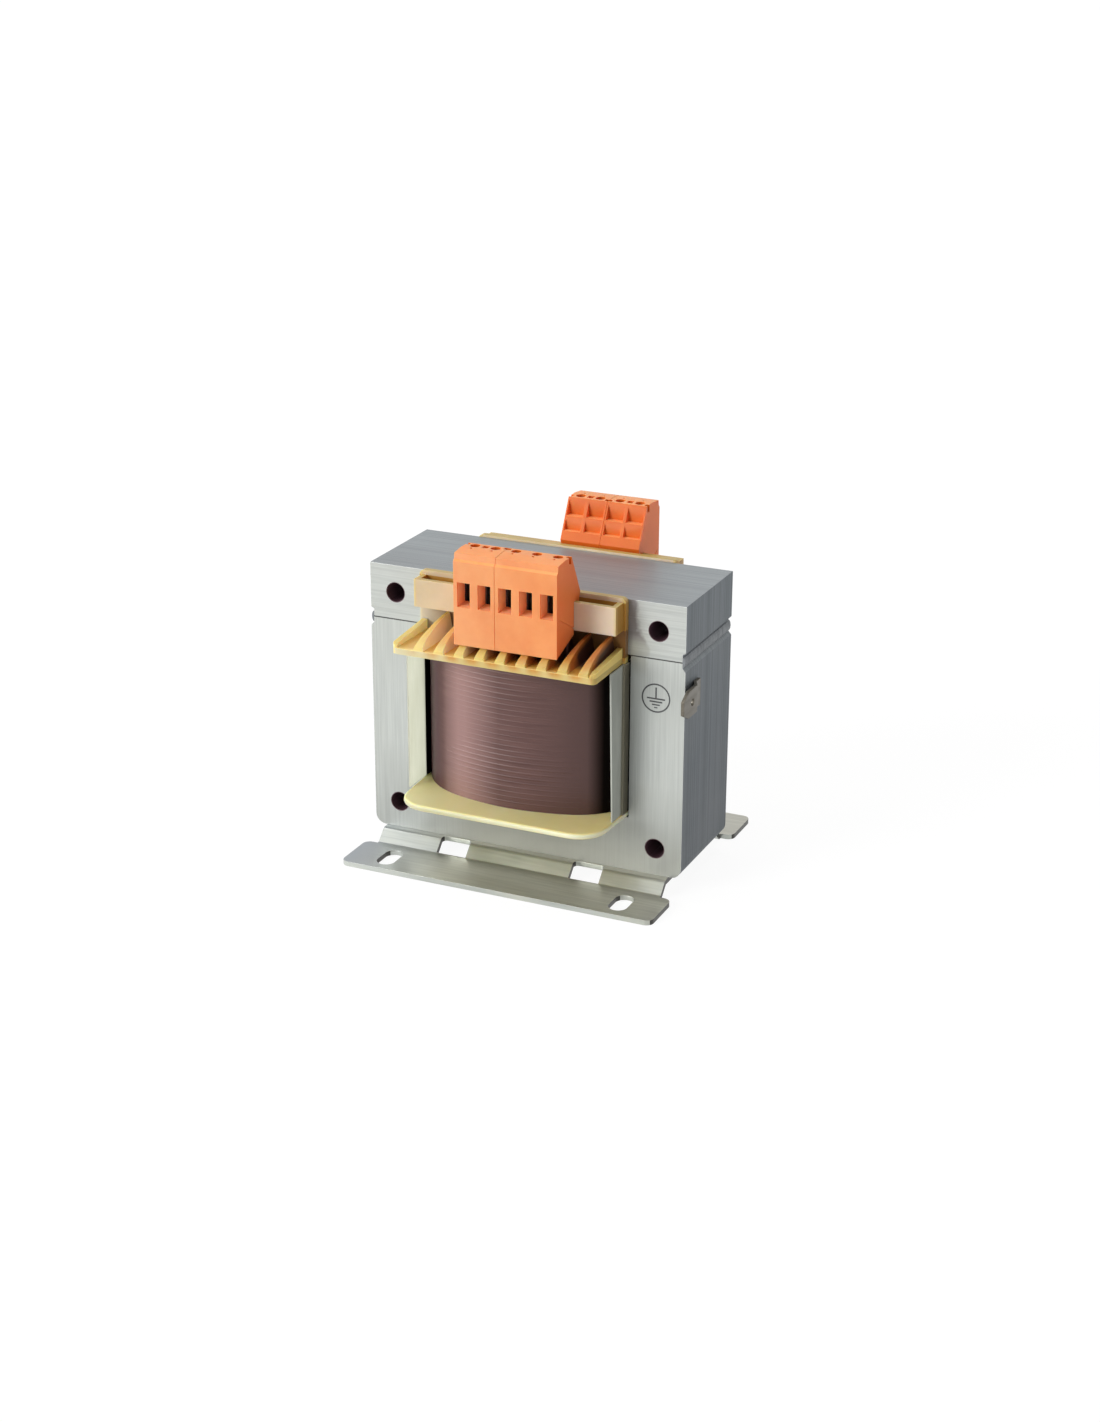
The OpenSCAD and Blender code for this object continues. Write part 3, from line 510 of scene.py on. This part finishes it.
def wound_wire(name, half_x, half_y, z0, z1, diameter):
    """A helix of wire that follows the rounded plan of the coil."""
    turns = round((z1 - z0) / diameter)
    pitch = (z1 - z0) / turns
    plan = coil_plan(half_x, half_y)
    shape = bpy.data.curves.new(name, "CURVE")
    shape.dimensions = "3D"
    shape.bevel_depth = diameter / 2
    shape.bevel_resolution = 2
    shape.use_fill_caps = True
    thread = shape.splines.new("POLY")
    count = turns * plan_steps
    thread.points.add(count - 1)
    for i in range(count):
        spot = plan[i % plan_steps]
        z = z0 + diameter / 2 + (pitch * (turns - 1)) * i / (count - 1)
        thread.points[i].co = (spot.x, spot.y, z, 1)
    return shape


def filled_ring(name, outer, inner, z0, z1):
    """A flat ring between two outlines, raised to a height."""
    shape = bpy.data.curves.new(name, "CURVE")
    shape.dimensions = "2D"
    shape.fill_mode = "BOTH"
    shape.extrude = (z1 - z0) / 2
    for outline in (outer, inner):
        line = shape.splines.new("POLY")
        line.points.add(len(outline) - 1)
        for point, spot in zip(line.points, outline):
            point.co = (spot.x, spot.y, 0, 1)
        line.use_cyclic_u = True
    return shape


def made_mesh(shape, name, material, lift=0.0):
    """Turns a curve into a mesh piece, raised by a lift."""
    curve = bpy.data.objects.new(name + "_curve", shape)
    bpy.context.scene.collection.objects.link(curve)
    bpy.context.view_layer.update()
    view = bpy.context.evaluated_depsgraph_get()
    mesh = bpy.data.meshes.new_from_object(curve.evaluated_get(view))
    bpy.data.objects.remove(curve)
    form = bmesh.new()
    form.from_mesh(mesh)
    bpy.data.meshes.remove(mesh)
    bmesh.ops.translate(form, verts=form.verts, vec=(0, 0, lift))
    return finished(form, name, material, 60)


wire = wound_wire("secondary_coil", coil_high.x - wire_d / 2, coil_high.y - wire_d / 2,
                  coil_low.z, coil_high.z, wire_d)
coil = made_mesh(wire, "secondary_coil", enamel.material)
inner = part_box("interwinding_insulation")[1]
fill = filled_ring("varnish_fill",
                   coil_plan(coil_high.x - varnish_sink, coil_high.y - varnish_sink),
                   coil_plan(inner.x + varnish_sink, inner.y + varnish_sink),
                   coil_low.z, coil_high.z)
fill = made_mesh(fill, "varnish_fill", enamel.material, (coil_low.z + coil_high.z) / 2)
for piece in (coil, fill):
    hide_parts("secondary_winding")
film = Finish("wound_film", "D9C79A", 0.4)
film.paint(film.mix(film.range(film.noise((200, 200, 900)), 0.3, 0.7), "CDB987", "E2D3AA"))
for name in ["primary_winding"] + [n for n in nodes if "_lead_" in n]:
    dress(name, enamel)
dress("interwinding_insulation", film)


# Liners and side sheet.
# Pale pressboard strips line the outer limbs, and a grey sheet stands on the right. The
# strips let light through where they stand out of the core.
board = Finish("pressboard", "D6DACB", 0.6)
pale = board.mix(board.range(board.noise((500, 500, 120)), 0.3, 0.7), "DFE0D4", "E7E8DE")
# Painted shade: the right strip is painted darker than the left.
pale = board.mix(board.math("GREATER_THAN", board.at("X"), 0.0), pale, "BDBAAD")
# Painted shade: the strips are painted nearly black inside the core's window.
lining = board.mix(board.range(board.away("Y"), -core_front - 0.2 * MM, -core_front), "0C0A08",
                   pale)
board.paint(lining)
board.bump(board.noise((2500, 2500, 2500)), 0.03 * MM, 0.4)
through = board.add("ShaderNodeBsdfTranslucent")
board.join(lining, through.inputs["Color"])
thin = board.add("ShaderNodeMixShader")
thin.inputs[0].default_value = 0.85
board.join(board.shader.outputs[0], thin.inputs[1])
board.join(through.outputs[0], thin.inputs[2])
board.join(thin.outputs[0], board.tree.nodes["Material Output"].inputs["Surface"])
sheet = Finish("grey_sheet", "A2A59D", 0.5)
sheet.paint(sheet.mix(sheet.range(sheet.noise((300, 300, 60)), 0.3, 0.7), "989B93", "ACAFA7"))
for name, finish in (("window_liner_left", board), ("window_liner_right", board),
                     ("winding_side_sheet", sheet)):
    dress(name, finish)


# Terminals.
# Orange moulded housings hook into the rails. Each pole has a funnel entry, a steel box
# clamp and a slotted screw under a round hole.
poles_left, poles_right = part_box("primary_housing_2_pole")[0].x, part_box("primary_housing_3_pole")[1].x
housing_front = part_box("primary_housing_2_pole")[0].y
entry_low, entry_high = (corner.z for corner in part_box("primary_clamp_1"))
entry_skin = 0.3 * MM
orange = Finish("orange_moulding", "E29158", 0.42)
flow = orange.range(orange.noise((150, 150, 150), 4.0), 0.3, 0.7)
# Painted light: the housings are painted paler towards the left, where the light washes them.
moulded = orange.mix(orange.range(orange.at("X"), -12 * MM, 10 * MM),
                     orange.mix(flow, "DA905F", "E19F6D"), orange.mix(flow, "D98650", "E1955D"))
# Painted shade: the parts further in from the housings' outer faces, such as the rear terminals' slopes,
# are painted a deeper orange.
inner_side_shade = orange.mix(flow, "CF611A", "D76B22")
outer = orange.math("GREATER_THAN", orange.away("Y"), -housing_front - 2.5 * MM)
skin = orange.mix(outer, inner_side_shade, moulded)
# Painted shade: the end faces are painted a deeper orange.
end_face = orange.math("GREATER_THAN", orange.facing("X"), 0.6)
skin = orange.mix(end_face, skin, orange.mix(flow, "F47C40", "FB8548"))
# Painted light: the faces that look up are painted a lighter orange.
top_face = orange.math("GREATER_THAN", orange.facing("Z"), 0.6)
skin = orange.mix(top_face, skin, orange.mix(flow, "F49A5C", "FCA668"))
# Painted light: the insides of the wire entries are painted pale orange.
in_entry = orange.both(
    orange.both(orange.math("GREATER_THAN", orange.at("Y"), housing_front + entry_skin),
                orange.math("LESS_THAN", orange.at("Y"), 0.0)),
    orange.both(orange.both(orange.math("GREATER_THAN", orange.at("X"), poles_left + entry_skin),
                            orange.math("LESS_THAN", orange.at("X"), poles_right - entry_skin)),
                orange.both(orange.math("GREATER_THAN", orange.at("Z"), entry_low),
                            orange.math("LESS_THAN", orange.at("Z"), entry_high))))
orange.paint(orange.mix(in_entry, skin, "FFB684"))
orange.shader.inputs["Specular IOR Level"].default_value = 0.22
orange.shader.inputs["Subsurface Weight"].default_value = 0.3
orange.shader.inputs["Subsurface Radius"].default_value = (1.0, 0.4, 0.16)
orange.shader.inputs["Subsurface Scale"].default_value = 1.5 * MM
orange.bump(orange.noise((2200, 2200, 2200), 2.0), 0.015 * MM, 0.5)
for node, name in (("primary_housing_2_pole", "front_terminal_2_pole"),
                   ("primary_housing_3_pole", "front_terminal_3_pole"),
                   ("secondary_housing_left", "rear_terminal_left"),
                   ("secondary_housing_right", "rear_terminal_right")):
    housing = softened(node, name, 0.16 * MM, material=orange.material)
clamp = Finish("clamp_plating", "55535A", 0.4, 0.9)
clamp.paint(clamp.mix(clamp.range(clamp.noise((700, 700, 700)), 0.3, 0.7), "47464C", "66656B"))
screw = Finish("screw_plating", "9A9B9F", 0.35, 0.9)
screw.paint(screw.mix(screw.range(screw.noise((900, 900, 900)), 0.3, 0.7), "8A8B8F", "A9AAAE"))
for name in nodes:
    if "_clamp_" in name:
        dress(name, screw if "_screw_" in name else clamp)


# Earth tab.
# A tinned brass blade for a push-on receptacle, joggled and welded to the core's side.
brass = Finish("tinned_brass", "6A665C", 0.4, 0.6)
brass.paint(brass.mix(brass.range(brass.noise((300, 60, 900)), 0.3, 0.7), "605B50", "736E64"))
tab = softened("earth_tab", "earth_blade", 0.1 * MM, material=brass.material)


# Earth sign.
# The general sign for protective earth, printed in grey ink on the right limb.
sign_x, sign_z, sign_r = 32.16 * MM, 46.76 * MM, 3.25 * MM
ink_w, ink_t = 0.36 * MM, 0.02 * MM
ink = Finish("grey_ink", "4A4B4C", 0.6)
ink.paint(ink.mix(ink.range(ink.noise((900, 900, 900)), 0.3, 0.7), "434445", "555657"))
sign = bmesh.new()
rings = []
for radius in (sign_r - ink_w / 2, sign_r + ink_w / 2):
    made = bmesh.ops.create_circle(sign, segments=64, radius=radius)
    rings.append(made["verts"])
edges = [e for e in sign.edges]
bmesh.ops.bridge_loops(sign, edges=edges)
for x0, x1, y0, y1 in ((-0.5, 0.5, 0.1, 7.0), (-6, 6, 0.1, -0.9), (-4.2, 4.2, -1.9, -2.9),
                       (-2.6, 2.6, -3.9, -4.8), (-1.1, 1.1, -5.8, -6.6)):
    corners = [sign.verts.new((x * sign_r / 9, y * sign_r / 9, 0))
               for x, y in ((x0, y0), (x1, y0), (x1, y1), (x0, y1))]
    sign.faces.new(corners)
bmesh.ops.recalc_face_normals(sign, faces=sign.faces)
up = bmesh.ops.extrude_face_region(sign, geom=sign.faces[:])
bmesh.ops.translate(sign, vec=(0, 0, ink_t),
                    verts=[v for v in up["geom"] if isinstance(v, bmesh.types.BMVert)])
bmesh.ops.recalc_face_normals(sign, faces=sign.faces)
bmesh.ops.transform(sign, verts=sign.verts, matrix=Matrix.Translation(
    (sign_x, core_front, sign_z)) @ Matrix.Rotation(math.radians(90), 4, "X"))
sign = finished(sign, "earth_sign", ink.material)


# Floor, light and camera.
# A plain white floor that keeps a faint shadow, one soft key light from the front left, and
# the photograph's view.
floor_glow = 0.88
studio_light = 0.34
view_turn, view_rise, view_roll = (math.radians(a) for a in (24.462, 21.012, 0.13))
view_place = Vector((217.88, -479.05, 235.71)) * MM
focus_px, photo_h = 2418.038, 1422


def seen_straight(tree):
    """One for rays from the camera and for mirrored or passed ones, zero for soft light."""
    rays = tree.nodes.new("ShaderNodeLightPath")
    total = rays.outputs["Is Camera Ray"]
    for name in ("Is Glossy Ray", "Is Transmission Ray"):
        step = tree.nodes.new("ShaderNodeMath")
        step.operation = "MAXIMUM"
        tree.links.new(total, step.inputs[0])
        tree.links.new(rays.outputs[name], step.inputs[1])
        total = step.outputs[0]
    return total


floor_form = bmesh.new()
bmesh.ops.create_grid(floor_form, x_segments=1, y_segments=1, size=6)
floor_mesh = bpy.data.meshes.new("floor")
floor_form.to_mesh(floor_mesh)
floor_form.free()
floor = bpy.data.objects.new("floor", floor_mesh)
bpy.context.scene.collection.objects.link(floor)
floor_paint = Finish("floor_paint", "F8F8F8", 0.8)
floor_paint.paint(floor_paint.mix(floor_paint.noise((3, 3, 3)), "F7F7F7", "F9F9F9"))
glow = floor_paint.add("ShaderNodeEmission")
glow.inputs["Strength"].default_value = 1.04
blend = floor_paint.add("ShaderNodeMixShader")
floor_paint.join(floor_paint.both(seen_straight(floor_paint.tree), floor_glow), blend.inputs[0])
floor_paint.join(floor_paint.shader.outputs[0], blend.inputs[1])
floor_paint.join(glow.outputs[0], blend.inputs[2])
floor_paint.join(blend.outputs[0], floor_paint.tree.nodes["Material Output"].inputs["Surface"])
floor.data.materials.append(floor_paint.material)

world = bpy.data.worlds.new("studio")
bpy.context.scene.world = world
world.use_nodes = True
ground = world.node_tree.nodes["Background"]
ground.inputs["Color"].default_value = (1, 1, 1, 1)
level = world.node_tree.nodes.new("ShaderNodeMapRange")
level.inputs["To Min"].default_value = studio_light
level.inputs["To Max"].default_value = 1.0
world.node_tree.links.new(seen_straight(world.node_tree), level.inputs["Value"])
world.node_tree.links.new(level.outputs["Result"], ground.inputs["Strength"])


def sun(name, towards, energy, spread):
    """A soft lamp far away, in the given direction from the object."""
    lamp = bpy.data.lights.new(name, "SUN")
    lamp.energy = energy
    lamp.angle = math.radians(spread)
    holder = bpy.data.objects.new(name, lamp)
    holder.rotation_euler = Vector(towards).to_track_quat("Z", "Y").to_euler()
    bpy.context.scene.collection.objects.link(holder)


sun("key", (-0.55, -0.78, 0.32), 2.45, 30)
sun("left_sheen", (-0.93, -0.28, 0.2), 0.7, 16)
sun("above", (-0.1, 0.12, 1.0), 0.9, 40)

back = Vector((math.sin(view_turn) * math.cos(view_rise),
               -math.cos(view_turn) * math.cos(view_rise), math.sin(view_rise)))
right = (-back).cross(Vector((0, 0, 1))).normalized()
up_way = right.cross(-back)
c, s = math.cos(view_roll), math.sin(view_roll)
axes = Matrix([c * right + s * up_way, c * up_way - s * right, back])
camera_data = bpy.data.cameras.new("camera")
camera_data.sensor_width = 36
camera_data.lens = focus_px * camera_data.sensor_width / photo_h
camera_data.clip_start = 0.01
camera = bpy.data.objects.new("camera", camera_data)
bpy.context.scene.collection.objects.link(camera)
camera.matrix_world = Matrix.Translation(view_place) @ axes.transposed().to_4x4()
bpy.context.scene.camera = camera
bpy.context.scene.view_settings.view_transform = "Standard"
